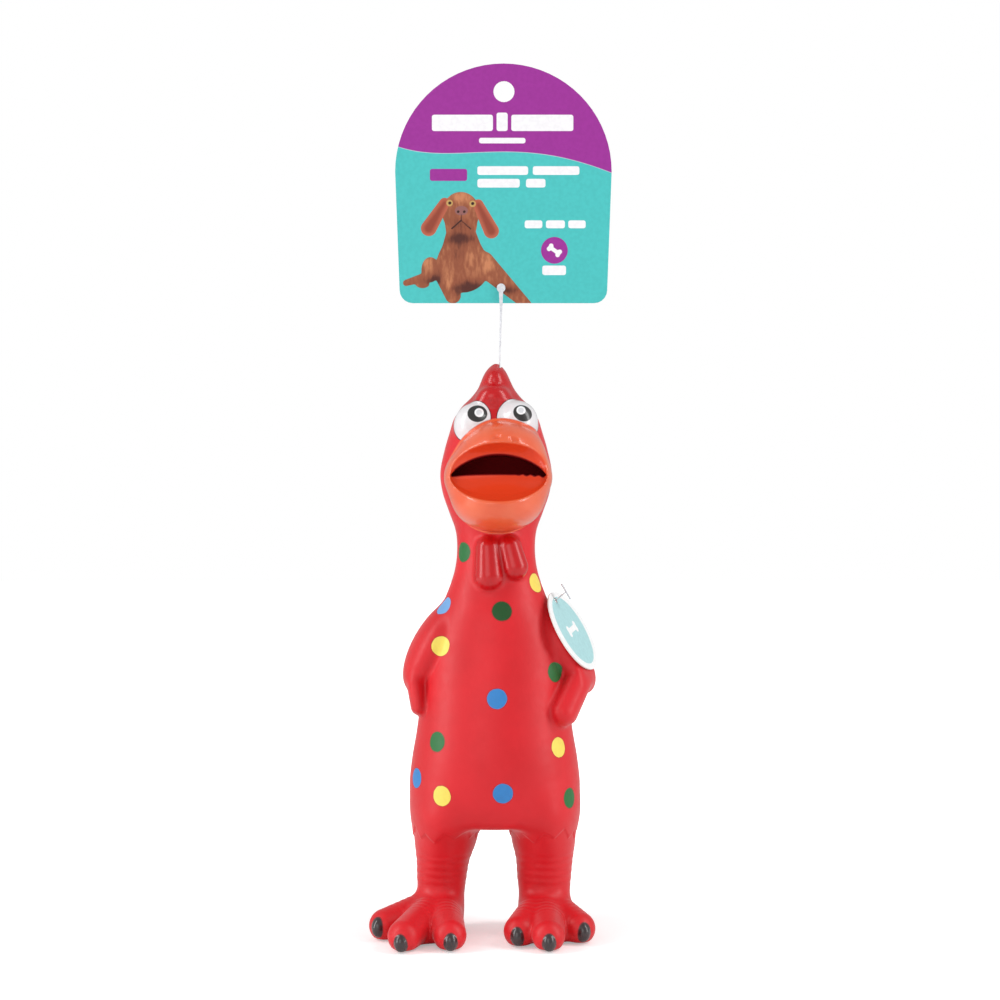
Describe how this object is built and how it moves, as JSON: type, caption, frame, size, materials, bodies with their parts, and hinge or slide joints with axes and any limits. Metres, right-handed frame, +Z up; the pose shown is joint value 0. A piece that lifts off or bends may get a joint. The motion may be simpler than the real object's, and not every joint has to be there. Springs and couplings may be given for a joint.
{
  "type": "rubber chicken toy",
  "caption": "Squeaky rubber chicken standing on two feet, with open beak, comb and wattles, hung from an arched header card, with a round swing tag.",
  "frame": {"origin": "on the floor under the middle of the bounding box; the body's axis stands at x 1.986 mm, y 1.087 mm", "axes": "+Z up, -Y the way the chicken faces, +X to the viewer's right from the front"},
  "size_m": [0.092, 0.0662, 0.3301],
  "materials": {
    "red_latex": "satin moulded latex with painted dots, orange bill, white eyes and black claws",
    "white_plastic": "moulded, plain",
    "black_plastic": "moulded, plain",
    "spring_steel": "thin rolled strip",
    "white_nylon": "translucent moulded nylon",
    "printed_card": "coated card printed teal and purple",
    "printed_tag": "coated card printed pale teal with a white rim"
  },
  "bodies": {
    "torso": {"torso_skin": "red_latex", "tag_pin": "white_nylon"},
    "head": {"head_skin": "red_latex", "sounder_tube": "white_plastic", "sounder_lid": "white_plastic", "reed_plate": "black_plastic", "reed_clamp": "black_plastic"},
    "reed": {"reed_tongue": "spring_steel"},
    "belly": {"belly_skin": "red_latex"},
    "left_leg": {"left_leg_skin": "red_latex"},
    "right_leg": {"right_leg_skin": "red_latex"},
    "pin": {"card_pin": "white_nylon"},
    "card": {"header_card": "printed_card"},
    "tag": {"swing_tag": "printed_tag"}
  },
  "joints": [
    {"name": "neck_bend", "type": "hinge", "parent": "torso", "child": "head", "pos_m": [0.00199, 0.00109, 0.1155], "axis": [1, 0, 0], "range_deg": [-20, 20], "stiffness_Nm_per_rad": 0.4},
    {"name": "left_leg_bend", "type": "hinge", "parent": "torso", "child": "left_leg", "pos_m": [-0.01821, 0.00309, 0.0195], "axis": [1, 0, 0], "range_deg": [-15, 15], "stiffness_Nm_per_rad": 0.8},
    {"name": "right_leg_bend", "type": "hinge", "parent": "torso", "child": "right_leg", "pos_m": [0.02059, 0.00309, 0.0195], "axis": [1, 0, 0], "range_deg": [-15, 15], "stiffness_Nm_per_rad": 0.8},
    {"name": "belly_squeeze", "type": "slide", "parent": "torso", "child": "belly", "axis": [0, 1, 0], "range_m": [0, 0.014], "stiffness_N_per_m": 400},
    {"name": "reed_flex", "type": "hinge", "parent": "head", "child": "reed", "pos_m": [0.00199, 0.00529, 0.1518], "axis": [-1, 0, 0], "range_deg": [0, 7]},
    {"name": "card_pin_swing", "type": "hinge", "parent": "head", "child": "pin", "pos_m": [0.00319, 0.00109, 0.2108], "axis": [0, 1, 0], "range_deg": [-30, 30], "stiffness_Nm_per_rad": 0.02},
    {"name": "card_swing", "type": "hinge", "parent": "pin", "child": "card", "pos_m": [0.00389, 0.00109, 0.2446], "axis": [0, 1, 0], "range_deg": [-40, 40], "stiffness_Nm_per_rad": 0.01},
    {"name": "tag_swing", "type": "hinge", "parent": "torso", "child": "tag", "pos_m": [0.02266, -0.00091, 0.12885], "axis": [-0.2849, -0.944, -0.1665], "range_deg": [0, 30]}
  ],
  "couplings": [
    {"joint": "reed_flex", "follows": "belly_squeeze", "rad_per_m": 8.5}
  ]
}
